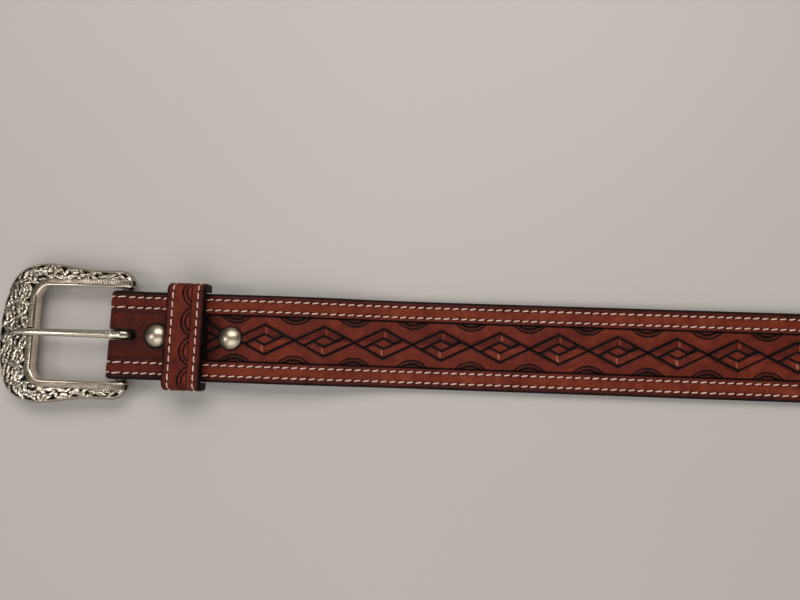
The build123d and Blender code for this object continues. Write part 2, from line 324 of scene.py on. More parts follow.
def leather_material(name, tone_shift):
    """Dyed and waxed leather, with antiquing in its tooling, painted shade and painted highlights in
    its tone, and a fine grain.
    """
    material = new_material(name, {"Specular IOR Level": 0.12})
    place = place_field(material)
    cloud = noise(material, place, 0.06, 4.0)
    blotch = noise(material, place, 0.22, 3.0)
    fleck = noise(material, place, 0.9, 5.0)
    grain = {"Vector": place, "Scale": 1.7}
    cells = add_node(material, "TexVoronoi", grain, feature="DISTANCE_TO_EDGE")
    pores = compute(material, "MINIMUM", cells.outputs["Distance"], 0.16)
    tone = blend_sum(material, (
        (field(material, "tone"), 1.0),
        (cloud, 0.36),
        (blotch, 0.34),
        (fleck, 0.30),
        (pores, -0.35),
        (1.0, tone_shift - 0.41),
    ))
    tint(material, tone, LEATHER_TONES)
    roughen(material, ((fleck, 0.22), (cloud, 0.12), (1.0, 0.34)))
    add_bump(material, blend_sum(material, ((pores, 3.0), (fleck, 0.8))), 0.045)
    return material


def lining_material():
    """Undyed brown flesh side, softly fibrous."""
    material = new_material("lining_leather", {"Roughness": 0.82})
    place = place_field(material)
    stretch = add_node(material, "Mapping", {"Vector": place, "Scale": (0.35, 1.0, 1.0)})
    fibre = noise(material, stretch.outputs[0], 1.6, 6.0)
    cloud = noise(material, place, 0.05, 3.0)
    tone = blend_sum(material, ((fibre, 0.5), (cloud, 0.5), (field(material, "tone"), -1.0)))
    stops = [(0.0, srgb(26, 16, 13)), (0.3, srgb(84, 54, 38)), (0.7, srgb(128, 90, 64))]
    tint(material, tone, stops)
    add_bump(material, fibre, 0.12)
    return material


def thread_material():
    """Cream waxed thread of twisted strands."""
    material = new_material("cream_thread", {"Roughness": 0.55})
    turns = compute(material, "MULTIPLY", field(material, "strand"), 2 * math.pi)
    wave = compute(material, "SINE", turns)
    fuzz = noise(material, place_field(material), 0.5, 2.0)
    shade = blend_sum(material, ((wave, 0.16), (fuzz, 0.7), (1.0, 0.15)))
    tint(material, shade, [(0.2, srgb(200, 142, 120)), (0.75, srgb(252, 224, 204))])
    add_bump(material, wave, 0.06)
    return material


def nickel_material(name, bright, dark, rough, scratch):
    """Nickel with brushed scratches, darkened by its patina and painted shade value: patina in the
    engraving's hollows, painted shade on the bar's ends, the prong's sides and the studs' rims.
    """
    material = new_material(name, {"Metallic": 1.0})
    place = add_node(material, "TexCoord").outputs["Object"]
    brushed = add_node(material, "Mapping", {"Vector": place, "Scale": (1.0, 7.0, 7.0)})
    lines = noise(material, brushed.outputs[0], 420.0, 3.0)
    spots = noise(material, place, 260.0, 4.0)
    patina_and_shade = field(material, "patina_and_shade")
    patina_shade_and_spots = blend_sum(material, ((patina_and_shade, 1.0), (spots, 0.5), (1.0, -0.25)))
    dulled = tuple(0.62 * level for level in bright)
    tint(material, patina_shade_and_spots, [(0.0, bright), (0.35, dulled), (0.95, dark)])
    roughen(material, ((patina_and_shade, 0.35), (spots, 0.12), (1.0, rough)))
    add_bump(material, lines, scratch)
    return material


# --- mesh helpers

def make_mesh(name, points, faces, material, fields=None):
    """A smooth mesh object from points in millimetres, with fields of values at them."""
    mesh = bpy.data.meshes.new(name)
    mesh.from_pydata((np.asarray(points, float) * MM).tolist(), [], np.asarray(faces).tolist())
    for field_name, values in (fields or {}).items():
        kind, key = ("FLOAT_VECTOR", "vector") if field_name == "place" else ("FLOAT", "value")
        attribute = mesh.attributes.new(field_name, kind, "POINT")
        attribute.data.foreach_set(key, np.asarray(values, np.float32).ravel())
    mesh.materials.append(material)
    mesh.shade_smooth()
    mesh.set_sharp_from_angle(angle=SHARP_ANGLE)
    return add_object(name, mesh)


def rise(value, start, end):
    """0 before start, 1 after end, and smooth between."""
    part = np.clip((value - start) / (end - start), 0, 1)
    return part * part * (3 - 2 * part)


def fall(value, start, end):
    """1 before start, 0 after end, and smooth between."""
    return 1 - rise(value, start, end)


def groove(distance, half_width):
    """1 on a line, falling smoothly to 0 at its half width."""
    return fall(np.abs(distance), 0, half_width)


def dome(part, least=0):
    """A quarter circle's height: 1 at 0, down to its least value at 1."""
    return np.sqrt(np.clip(1 - part**2, least, None))


def rounded(distance, radius):
    """How far a rounded edge has dropped at a distance from it."""
    short = np.clip(radius - distance, 0, radius)
    return radius - np.sqrt(radius**2 - short**2)


def grid_faces(rows, columns):
    """Faces between neighbouring points of a grid numbered row by row."""
    index = np.arange(rows * columns).reshape(rows, columns)
    return np.stack((index[:-1, :-1], index[1:, :-1], index[1:, 1:], index[:-1, 1:]), -1)


def slab(upper, lower, kept):
    """Faces of a closed slab between two point grids, with walls round its kept cells.

    Gives the numbers of the points in use, upper grid first, and the faces.
    """
    rows, columns = upper.shape[:2]
    cells = grid_faces(rows, columns)
    down = rows * columns
    padded = np.pad(kept, 1)
    faces = [cells[kept], cells[kept][:, ::-1] + down]
    sides = (
        (padded[1:-1, :-2], 0, 1),
        (padded[2:, 1:-1], 1, 2),
        (padded[1:-1, 2:], 2, 3),
        (padded[:-2, 1:-1], 3, 0),
    )
    for beside, start, end in sides:
        open_cells = cells[kept & ~beside]
        first, last = open_cells[:, start], open_cells[:, end]
        faces.append(np.stack((first, first + down, last + down, last), -1))
    faces = np.concatenate(faces)
    used, faces = np.unique(faces, return_inverse=True)
    return used, faces.reshape(-1, 4)


def tube_faces(rings, sides, first=0):
    """Faces of a closed tube whose points are numbered ring by ring."""
    index = first + np.arange(rings * sides).reshape(rings, sides)
    beside = np.roll(index, -1, 1)
    faces = np.stack((index[:-1], beside[:-1], beside[1:], index[1:]), -1).reshape(-1, 4)
    caps = []
    for ring, order in ((index[0], 1), (index[-1], -1)):
        for i in range(sides // 2 - 1):
            quad = [ring[i], ring[sides - 1 - i], ring[sides - 2 - i], ring[i + 1]]
            caps.append(quad[::-order])
    return np.concatenate((faces, caps))


def both(upper, lower):
    """Two grids as one list of points."""
    size = upper.shape[2:]
    return np.concatenate((upper.reshape(-1, *size), lower.reshape(-1, *size)))


def make_slab(name, upper, lower, kept, material, tones, places):
    """A closed slab as a mesh object; tones and places are those of its two grids."""
    used, faces = slab(upper, lower, kept)
    fields = {"tone": both(*tones)[used], "place": both(*places)[used]}
    return make_mesh(name, both(upper, lower)[used], faces, material, fields)


def triples(x, y, z):
    """Points from three arrays or numbers that fit each other."""
    return np.stack(np.broadcast_arrays(x, y, z), -1)


def circle(count):
    """Angles evenly spread round a circle."""
    return np.arange(count) * 2 * np.pi / count


def finish_piece(piece, body, slot, *nodes):
    """Let a piece ride on a body and stand for some CAD nodes; the slot is not used."""
    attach(piece, body)
    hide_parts(*nodes)


# --- the strap's path

GLUE = TOP_PLY - BAR_HEIGHT
FOLD_RADIUS = BAR_HEIGHT - PLY
EASE_RUN = FOLD_END - BAR_STATION
EASE_DROP = FOLD_RADIUS - GLUE
EASE_RADIUS = (EASE_RUN**2 - EASE_DROP**2) / (2 * EASE_DROP) - GLUE
EASE_TURN = math.atan2(EASE_RUN, EASE_RADIUS + GLUE)
EASE_LENGTH = (EASE_RADIUS - PLY / 2) * EASE_TURN
WRAP_LENGTH = (FOLD_RADIUS + PLY / 2) * (math.pi + 2 * EASE_TURN)
FOLD_LENGTH = 2 * EASE_LENGTH + WRAP_LENGTH
FLAP_U = FOLD_END - FOLD_LENGTH - (FLAP_END - FOLD_END)
SLOT_UNDER = 2 * FOLD_END - FOLD_LENGTH - SLOT_END
SAG_RADIUS = ((SAG[1] - SAG[0]) ** 2 + TOP_PLY**2) / (4 * TOP_PLY)


def ply_point(u, h):
    """Points at lengths u along the ply's middle line and heights h above its lining.

    From the end of the fold on, u is the station. Smaller u goes round the bar to the flap.
    """
    into = FOLD_END - u
    turn = np.clip(into / (EASE_RADIUS - PLY / 2), 0, EASE_TURN)
    wrap = math.pi / 2 - EASE_TURN + (into - EASE_LENGTH) / (FOLD_RADIUS + PLY / 2)
    out = EASE_TURN - (into - EASE_LENGTH - WRAP_LENGTH) / (EASE_RADIUS - PLY / 2)
    past_middle = u > sum(SAG) / 2
    run = np.where(past_middle, SAG[1] - u, u - SAG[0])
    slope = np.arcsin(np.clip(run, 0, None) / SAG_RADIUS)
    drop = SAG_RADIUS * (1 - np.cos(slope))
    middle = PLY / 2 + np.where(past_middle, drop, TOP_PLY - drop)
    above = h - PLY / 2
    ease = EASE_RADIUS - h
    fold = FOLD_RADIUS + h
    over = TOP_PLY + EASE_RADIUS
    under = FLAP_PLY - EASE_RADIUS
    round_bar = into <= EASE_LENGTH + WRAP_LENGTH
    when, stations, heights = zip(
        (u >= SAG[1], u, h),
        (u >= SAG[0], u + above * np.sin(slope), middle + above * np.cos(slope)),
        (u >= FOLD_END, u, TOP_PLY + h),
        (into <= EASE_LENGTH, FOLD_END - ease * np.sin(turn), over - ease * np.cos(turn)),
        (round_bar, BAR_STATION + fold * np.cos(wrap), BAR_HEIGHT + fold * np.sin(wrap)),
        (into <= FOLD_LENGTH, FOLD_END - ease * np.sin(out), under + ease * np.cos(out)),
    )
    station = np.select(when, stations, FOLD_END + into - FOLD_LENGTH)
    return station, np.select(when, heights, FLAP_PLY - h)


def bent(u, y, h):
    """Places on the flat strap, as points of the bent strap."""
    station, height = ply_point(*np.broadcast_arrays(u, h))
    return triples(FOLD_X + station, y, height)


# --- the strap's outline

TIP_DROP = TIP_SIDE_RADIUS - HALF_WIDTH
NOSE = TIP - TIP_NOSE_RADIUS
TIP_TURN = math.acos(TIP_DROP / (TIP_SIDE_RADIUS - TIP_NOSE_RADIUS))
TIP_ARC = NOSE - (TIP_SIDE_RADIUS - TIP_NOSE_RADIUS) * math.sin(TIP_TURN)
TIP_TANGENT = TIP_ARC + TIP_SIDE_RADIUS * math.sin(TIP_TURN)


def half_width_at(u):
    """Half the strap's width, which comes to a rounded point at the tip."""
    side = np.sqrt(TIP_SIDE_RADIUS**2 - np.clip(u - TIP_ARC, 0, None) ** 2) - TIP_DROP
    nose = np.sqrt(np.clip(TIP_NOSE_RADIUS**2 - (u - NOSE) ** 2, 0.0004, None))
    return np.where(u < TIP_TANGENT, side, nose)


def inset_of(u, y):
    """How far in from the strap's outline a place is, and its turn round the tip."""
    reach = np.clip(u - TIP_ARC, 0, None)
    across = np.abs(y) + TIP_DROP
    turn = np.arctan2(reach, across)
    side = TIP_SIDE_RADIUS - np.hypot(reach, across)
    nose = TIP_NOSE_RADIUS - np.hypot(u - NOSE, y)
    return np.where(turn > TIP_TURN, nose, side), turn


def row_tip_length(inset):
    """Length of a stitch row from the start of the tip's curve to the middle line."""
    side = TIP_SIDE_RADIUS - inset
    if inset < TIP_NOSE_RADIUS:
        return side * TIP_TURN + (TIP_NOSE_RADIUS - inset) * (math.pi / 2 - TIP_TURN)
    return side * math.acos(TIP_DROP / side)


def row_place(inset, length):
    """Place and heading of a stitch row, a length past the start of the tip's curve."""
    side = TIP_SIDE_RADIUS - inset
    turn = min(max(length, 0) / side, TIP_TURN)
    if length <= side * TIP_TURN:
        station = TIP_ARC + min(length, 0) + side * math.sin(turn)
        return station, side * math.cos(turn) - TIP_DROP, turn
    nose = TIP_NOSE_RADIUS - inset
    turn = TIP_TURN + (length - side * TIP_TURN) / nose
    return NOSE + nose * math.sin(turn), nose * math.cos(turn), turn


# --- tooling

SLOPE = DIAMOND_HALF / (PITCH / 2)
TILT = 1 / math.hypot(1, SLOPE)
BAND = (DIAMOND_HALF - INNER_DIAMOND_HALF) * TILT
PANEL_HALF = HALF_WIDTH - BORDER_INSET


def crescent(along, depth_in, half, depth):
    """A crescent stamp with its flat side on a line.

    along is the place along the line from the stamp's middle, depth_in the distance past the
    line. Gives relief, tone, the share inside the stamp and the distance in from its arc.
    """
    radius = (half**2 + depth**2) / (2 * depth)
    low = depth_in - (depth - radius)
    inner = radius - np.hypot(along, low)
    spokes = np.sin(np.arctan2(along, low) * radius * 2 * math.pi / SPOKE_PITCH)
    ridge = groove(inner - 0.9, 0.85) + 0.9 * rise(inner, 1.9, 2.4)
    dip = groove(inner - 1.8, 0.4) + 0.6 * groove(inner, 0.35)
    relief = -0.58 + 0.44 * ridge - 0.2 * dip + 0.10 * ridge * spokes
    # painted highlight: the ridges, and the crests of their spokes, are lighter in tone
    tone = 0.92 - 0.54 * ridge + 0.2 * dip - 0.12 * ridge * spokes
    inside = rise(inner, -0.12, 0.1) * rise(depth_in, -0.05, 0.15)
    return relief, tone, inside, inner


def diamond_relief(across, y):
    """Relief and tone of the woven diamonds; across is measured from a diamond's middle.

    A band passes under its neighbour where over is 0, and sinks towards that line.
    """
    side = np.abs(across)
    outer = (DIAMOND_HALF - np.abs(y) - SLOPE * side) * TILT
    inner = (INNER_DIAMOND_HALF - np.abs(y) - SLOPE * side) * TILT
    over = (np.where(across < 0, y, -y) - INNER_DIAMOND_HALF + SLOPE * side) * TILT
    reach = PITCH / 2 * (1 + INNER_DIAMOND_HALF / DIAMOND_HALF) / 2
    line = np.minimum(np.where(side < reach, np.abs(over), 9.0), np.abs(inner))
    part = np.clip(outer / BAND, 0, 1)
    crown = np.sin(np.pi * part) ** 0.6
    # painted shade: a band darkens where it tucks under its neighbour
    tuck = groove(np.clip(-over, 0, None), 2.4) * (over < 0)
    tuck = tuck * (inner < -0.1) * rise(side, 3.4, 5.2)
    mitre = groove(across, 0.32) * (inner < 0)
    # painted highlight: a lighter facet beside each apex
    apex_highlight = fall(side, 0.5, 1.9) * (np.sign(y) * across > 0.12) * (inner < 0)
    band_relief = 0.24 - 0.42 * part + 0.12 * crown - 0.34 * tuck
    band_relief = band_relief - 0.5 * groove(line, 0.5) - 0.14 * mitre
    # painted light and shade: bands towards +y are darker, those towards -y lighter
    band_tone = 0.44 + 0.07 * np.sign(y) - 0.10 * crown + 0.26 * tuck + 0.16 * mitre
    band_tone += 0.9 * groove(line, 0.66)
    band_tone -= 0.30 * apex_highlight * rise(part, 0.1, 0.3) * fall(part, 0.9, 1.0)
    core_relief = -0.2 - 0.45 * groove(inner, 0.7)
    core_tone = 0.27 + 0.85 * groove(inner, 0.8)
    inside_relief = np.where(inner > 0, core_relief, band_relief)
    inside_tone = np.where(inner > 0, core_tone, band_tone)
    bevel = groove(np.clip(-outer, 0, None), 1.7)
    ground_relief = -0.30 - 0.42 * bevel
    ground_tone = 0.30 + 0.20 * bevel
    inside = rise(outer, -0.1, 0.35)
    relief = ground_relief + (inside_relief - ground_relief) * inside
    tone = ground_tone + (inside_tone - ground_tone) * inside
    return relief, tone + 0.9 * groove(outer, 0.66)


def panel_relief(u, y):
    """Relief and tone inside the border: woven diamonds, and crescents along both edges."""
    across = (u - CROSSING) % PITCH - PITCH / 2
    relief, tone = diamond_relief(across, y)
    from_crossing = (u - CROSSING + PITCH / 2) % PITCH - PITCH / 2
    stamp = crescent(from_crossing, PANEL_HALF - np.abs(y), CRESCENT_HALF, CRESCENT_DEPTH)
    stamp_relief, stamp_tone, inside, inner = stamp
    halo = groove(np.clip(-inner, 0, None), 0.9)
    relief = relief - 0.12 * halo + (stamp_relief - relief) * inside
    # painted highlight: a slightly lighter halo round each crescent
    tone = tone - 0.05 * halo * (1 - inside) + (stamp_tone - tone) * inside
    # painted shadow of the keeper: the panel is darker over its first 11 mm
    tone += 0.25 * fall(u, PANEL_START, PANEL_START + 11)
    return relief, tone + 0.4 * groove(inner, 0.45) * (np.abs(y) < PANEL_HALF)


def sink_stitches(relief, tone, phase, off, depth, pit_depth, pit_tone):
    """Relief and tone with a stitch row's channel, and a needle hole at each whole phase."""
    along = np.abs((phase + 0.5) % 1 - 0.5) * STITCH_PITCH
    pits = fall(np.hypot(along, off), 0.1, 0.75)
    relief = relief - depth * groove(off, CHANNEL_HALF) - pit_depth * pits
    return relief, tone + 0.20 * groove(off, 0.8) + pit_tone * pits


def strap_relief(u, y):
    """Relief and tone of the strap's face at places on the flat strap."""
    inset, turn = inset_of(u, y)
    border = np.minimum(inset - BORDER_INSET, u - PANEL_START)
    relief = -rounded(inset, EDGE_RADIUS)
    crown = 1 - ((inset - 5.0) / 2.25) ** 2
    relief += 0.16 * np.clip(crown, 0, 1)
    plain = u < PANEL_START
    tone = np.where(plain, 0.44, 0.30) + 0.10 * rise(inset, 9.0, 16.0) * plain
    tone += 0.16 * groove(inset - BORDER_INSET, 1.3)
    tone = tone + 0.20 * fall(inset, 1.3, 3.2) + 0.60 * fall(inset, 0.4, 1.1)
    tone -= 0.07 * np.clip(crown, 0, 1)
    for row in STITCH_INSETS:
        off = inset - row
        curved = turn * (TIP_SIDE_RADIUS - row)
        phase = np.where(u < TIP_ARC, (u - BREAKS[0]) / STITCH_PITCH, curved / STITCH_PITCH)
        relief, tone = sink_stitches(relief, tone, phase, off, 0.40, 0.25, 0.18)
    panel, panel_tone = panel_relief(u, y)
    bevel = groove(np.clip(border, 0, None), 1.1)
    panel -= 0.3 * bevel
    panel_tone += 0.2 * bevel
    inside = rise(border, -0.1, 0.2)
    relief = relief + (panel - relief) * inside - 0.25 * groove(border, 0.4)
    # painted shadow beside the keeper: a darker strip along the panel's start
    tone += 0.3 * (u > PANEL_START - 2.4) * (inset > BORDER_INSET)
    tone = tone + (panel_tone - tone) * inside + 0.7 * groove(border, 0.48)
    # painted shadow: the leather darkens in a ring round each stud
    for post in POSTS.values():
        from_post = np.hypot(u - post - POST_RADIUS, y)
        tone += 0.35 * fall(from_post, POST_RADIUS, POST_RADIUS + 1.4)
    return relief, tone


# --- strap pieces

def spread(start, end, step):
    """Evenly spread values with about this step, both ends included."""
    return np.linspace(start, end, max(2, round((end - start) / step) + 1))


def across_values(step):
    """Places across the strap: close together where its edges are rounded."""
    edge = EDGE_RADIUS * (1 - np.cos(np.linspace(0, np.pi / 2, 5)))
    inward = spread(EDGE_RADIUS, HALF_WIDTH, step)[1:]
    half = HALF_WIDTH - np.concatenate((edge, inward))
    return np.concatenate((-half[:-1], half[::-1]))


def piece_stations(piece, step):
    """Places along one strap piece: sparse on the hidden flap, dense at the tip's nose."""
    start = ([FLAP_U] + BREAKS)[piece]
    end = (BREAKS + [TIP])[piece]
    if piece == 0:
        lead = spread(start, SLOT_UNDER - 3, 3 * step)
        return np.concatenate((lead, spread(SLOT_UNDER - 3, end, step)[1:]))
    if end == TIP:
        nose = TIP_NOSE_RADIUS * np.sin(np.linspace(0, np.pi / 2, round(10 / step)))
        return np.concatenate((spread(start, NOSE, step), NOSE + nose[1:]))
    return spread(start, end, step)


def punch(u, y, kept, first, last, radius):
    """Cut a round-ended hole in a grid, and draw the cut cells' points onto its edge."""
    middle = np.clip(u, first, last)
    distance = np.hypot(u - middle, y)
    inside = distance < radius * 0.999
    cut = inside[:-1, :-1] | inside[1:, :-1] | inside[1:, 1:] | inside[:-1, 1:]
    kept &= ~cut
    near = np.zeros(u.shape, bool)
    for rows in (slice(None, -1), slice(1, None)):
        for columns in (slice(None, -1), slice(1, None)):
            near[rows, columns] |= cut
    scale = np.where(near, radius / np.maximum(distance, 0.01), 1.0)
    u[:] = middle + (u - middle) * scale
    y[:] = y * scale


def flat_grid(piece, step):
    """Places of one strap piece on the flat strap, and which of its cells are kept."""
    stations = piece_stations(piece, step)
    across = across_values(step)
    u = np.repeat(stations[:, None], len(across), 1)
    y = across[None, :] / HALF_WIDTH * half_width_at(u)
    kept = np.ones((len(stations) - 1, len(across) - 1), bool)
    if piece == 0:
        punch(u, y, kept, SLOT_UNDER + SLOT_HALF, SLOT_END - SLOT_HALF, SLOT_HALF)
    for hole in HOLES:
        if stations[0] - 1 < hole < stations[-1] + 1:
            punch(u, y, kept, hole, hole, HOLE_RADIUS)
    return u, y, kept


def hole_wear(u, y):
    """1 at the rim of a punched hole or of the slot, falling to 0 a little way from it."""
    distances = [np.hypot(u - hole, y) - HOLE_RADIUS for hole in HOLES]
    middle = np.clip(u, SLOT_UNDER + SLOT_HALF, SLOT_END - SLOT_HALF)
    distances.append(np.hypot(u - middle, y) - SLOT_HALF)
    return fall(np.min(distances, 0), 0, 0.6)


def ride_strap(thing, piece, kind):
    """Bake a strap piece's placement into its mesh and let it stand for its CAD nodes."""
    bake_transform(thing)
    numbers = [piece, piece + 1] if piece == len(HINGES) - 1 else [piece]
    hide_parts(*[f"strap_{kind}_{number:02d}" for number in numbers])


def make_leather(piece, material):
    """One stretch of the tooled ply, its relief in the mesh."""
    u, y, kept = flat_grid(piece, GRID_STEP)
    relief, tone = strap_relief(u, y)
    rim = hole_wear(u, y)
    relief -= 0.3 * rim**2
    tone = np.clip(tone + 0.35 * rim, 0, 1)
    tones = (tone, np.full(tone.shape, 0.88))
    places = (triples(u, y, 0.0), triples(u, y, 2.0))
    name = f"tooled_strap_{piece:02d}"
    grids = (bent(u, y, PLY + relief), bent(u, y, LINING))
    thing = make_slab(name, *grids, kept, material, tones, places)
    ride_strap(thing, piece, "leather")


def make_lining(piece, material):
    """One stretch of the lining ply, its lower edges rounded."""
    u, y, kept = flat_grid(piece, 2 * GRID_STEP)
    inset, _ = inset_of(u, y)
    tone = 0.32 * fall(inset, 0.3, 1.2) + 0.2 * hole_wear(u, y)
    place = triples(u, y, 0.0)
    name = f"lining_strap_{piece:02d}"
    grids = (bent(u, y, LINING), bent(u, y, rounded(inset, 0.45)))
    thing = make_slab(name, *grids, kept, material, (tone, tone), (place, place))
    ride_strap(thing, piece, "lining")


# --- stitches

STITCH_RINGS = 7
STITCH_SIDES = 8


def stitch_template():
    """One stitch's points along, across and above its row, its faces and its strand values."""
    part = np.sin(np.linspace(-np.pi / 2, np.pi / 2, STITCH_RINGS))
    angle = circle(STITCH_SIDES)
    radius = STITCH_RADIUS * np.sqrt(np.clip(1 - part**4, 0.02, None))
    sink = -0.02 - 0.55 * np.abs(part) ** 5
    along = np.repeat(part[:, None] * STITCH_LENGTH / 2, STITCH_SIDES, 1)
    across = radius[:, None] * np.cos(angle)
    above = sink[:, None] + radius[:, None] * np.sin(angle) * 0.85
    strand = along / 1.1 + angle / (2 * np.pi) * 2
    points = triples(along, across, above).reshape(-1, 3)
    return points, tube_faces(STITCH_RINGS, STITCH_SIDES), strand.ravel()


def place_stitches(places, template):
    """Points, faces and strand values of stitches on a flat sheet.

    A stitch's place is given along the sheet, across it and by its heading.
    """
    points, faces, strand = template
    u0, y0, heading = np.array(places).T[:, :, None]
    u = u0 + points[:, 0] * np.cos(heading) - points[:, 1] * np.sin(heading)
    y = y0 + points[:, 0] * np.sin(heading) + points[:, 1] * np.cos(heading)
    shift = len(points) * np.arange(len(places))[:, None, None]
    spots = triples(u, y, points[:, 2]).reshape(-1, 3)
    return spots, (faces + shift).reshape(-1, 4), np.tile(strand, len(places))


def strap_stitch_places(piece):
    """Where one strap piece's stitches are, on the flat strap."""
    start = ([FLAP_U + 2] + BREAKS)[piece]
    end = (BREAKS + [TIP_ARC])[piece]
    first = math.ceil((start - BREAKS[0]) / STITCH_PITCH - 0.001)
    last = math.floor((end - BREAKS[0]) / STITCH_PITCH + 0.001)
    centres = BREAKS[0] + (np.arange(first, last) + 0.5) * STITCH_PITCH
    places = []
    for inset in STITCH_INSETS:
        for side in (-1, 1):
            places += [(centre, side * (HALF_WIDTH - inset), STITCH_SLANT) for centre in centres]
            if end == TIP_ARC:
                lead = BREAKS[0] + last * STITCH_PITCH - TIP_ARC
                length = row_tip_length(inset) - lead
                count = round(length / STITCH_PITCH)
                for i in range(count):
                    u, y, turn = row_place(inset, lead + (i + 0.5) * length / count)
                    places.append((u, side * y, STITCH_SLANT - side * turn))
    return places


def make_strap_stitches(piece, material, template):
    """All stitches of one strap piece, above and, where it is a single ply, below."""
    places = strap_stitch_places(piece)
    upper, faces, strand = place_stitches(places, template)
    single = [place for place in places if place[0] > FLAP_END]
    lower, lower_faces, lower_strand = place_stitches(single, template)
    over = bent(upper[:, 0], upper[:, 1], PLY + upper[:, 2])
    under = bent(lower[:, 0], lower[:, 1], -0.5 * lower[:, 2] + 0.12)
    points = np.concatenate((over, under))
    faces = np.concatenate((faces, lower_faces[:, ::-1] + len(over)))
    strand = np.concatenate((strand, lower_strand))
    fields = {"strand": strand, "place": np.concatenate((upper, lower))}
    thing = make_mesh(f"strap_stitches_{piece:02d}", points, faces, material, fields)
    ride_strap(thing, piece, "thread")


def make_strap():
    """The strap's leather, lining and stitches, one stretch for each of its hinges."""
    leather = leather_material("tooled_leather", 0.0)
    lining = lining_material()
    thread = thread_material()
    template = stitch_template()
    for piece in range(len(HINGES)):
        make_leather(piece, leather)
        make_lining(piece, lining)
        make_strap_stitches(piece, thread, template)
    return thread, template


# --- keeper

KEEPER_THICK = 2.2
KEEPER_CORNER = 4.0
KEEPER_ROW = 2.9
KEEPER_LINE = 10.8
KEEPER_STAMP_PITCH = 12.4
KEEPER_STAMP_HALF = 6.0
KEEPER_STAMP_DEPTH = 3.9
KEEPER_EDGE = 1.1
KEEPER_CHEEK = 1.3
KEEPER_SEAM = 0.15
KEEPER_PLACE = 300.0
KEEPER_FLAT = KEEPER_HALF - KEEPER_CORNER
KEEPER_SIDE = KEEPER_HEIGHT - 2 * KEEPER_CORNER
KEEPER_QUARTER = KEEPER_CORNER * math.pi / 2
KEEPER_UNDER = KEEPER_FLAT + 2 * KEEPER_QUARTER + KEEPER_SIDE
KEEPER_ROUND = 2 * (KEEPER_FLAT + KEEPER_QUARTER) + KEEPER_SIDE


def keeper_point(along, round_it, depth):
    """Points of the keeper: along the strap, round the loop from its top middle, and in depth."""
    way = np.abs(round_it)
    past_top = way - KEEPER_FLAT
    first = np.clip(past_top / KEEPER_CORNER, 0, math.pi / 2)
    side = np.clip(past_top - KEEPER_QUARTER, 0, KEEPER_SIDE)
    second = np.clip((past_top - KEEPER_QUARTER - KEEPER_SIDE) / KEEPER_CORNER, 0, math.pi / 2)
    under = np.clip(past_top - 2 * KEEPER_QUARTER - KEEPER_SIDE, 0, None)
    turn = first + second
    y = np.minimum(way, KEEPER_FLAT) + KEEPER_CORNER * (np.sin(first) - 1 + np.cos(second)) - under
    z = KEEPER_HEIGHT - KEEPER_CORNER * (1 - np.cos(first) + np.sin(second)) - side
    y = np.sign(round_it) * (y - depth * np.sin(turn))
    return triples(FOLD_X + KEEPER_START + along, y, z - depth * np.cos(turn))


def keeper_relief(along, round_it):
    """Relief and tone of the keeper's face."""
    edge = np.minimum(along, KEEPER_LENGTH - along)
    relief = -rounded(edge, KEEPER_EDGE)
    tone = 0.30 + 0.22 * fall(edge, 0.9, 2.6) + 0.45 * fall(edge, 0.2, 1.0)
    phase = round_it / STITCH_PITCH
    for row in (KEEPER_ROW, KEEPER_LENGTH - KEEPER_ROW):
        relief, tone = sink_stitches(relief, tone, phase, along - row, 0.34, 0.3, 0.3)
    from_line = KEEPER_LINE - along
    near_line = np.clip(from_line, 0, None)
    relief = relief - 0.35 * groove(from_line, 0.4) - 0.22 * groove(near_line, 2.2) * (from_line > 0)
    tone = tone + 0.5 * groove(from_line, 0.5) + 0.14 * groove(near_line, 2.0) * (from_line > 0)
    from_middle = round_it % KEEPER_STAMP_PITCH - KEEPER_STAMP_PITCH / 2
    stamp = crescent(from_middle, from_line, KEEPER_STAMP_HALF, KEEPER_STAMP_DEPTH)
    stamp_relief, stamp_tone, inside, inner = stamp
    stamped = inside * (np.abs(round_it) < 4 * KEEPER_STAMP_PITCH) * 0.9
    relief += (stamp_relief - relief) * stamped
    tone = tone + (stamp_tone - 0.22 - tone) * stamped
    tone += 0.35 * groove(inner - 0.2, 0.7) * (stamped > 0)
    return relief, np.clip(tone, 0, 1)


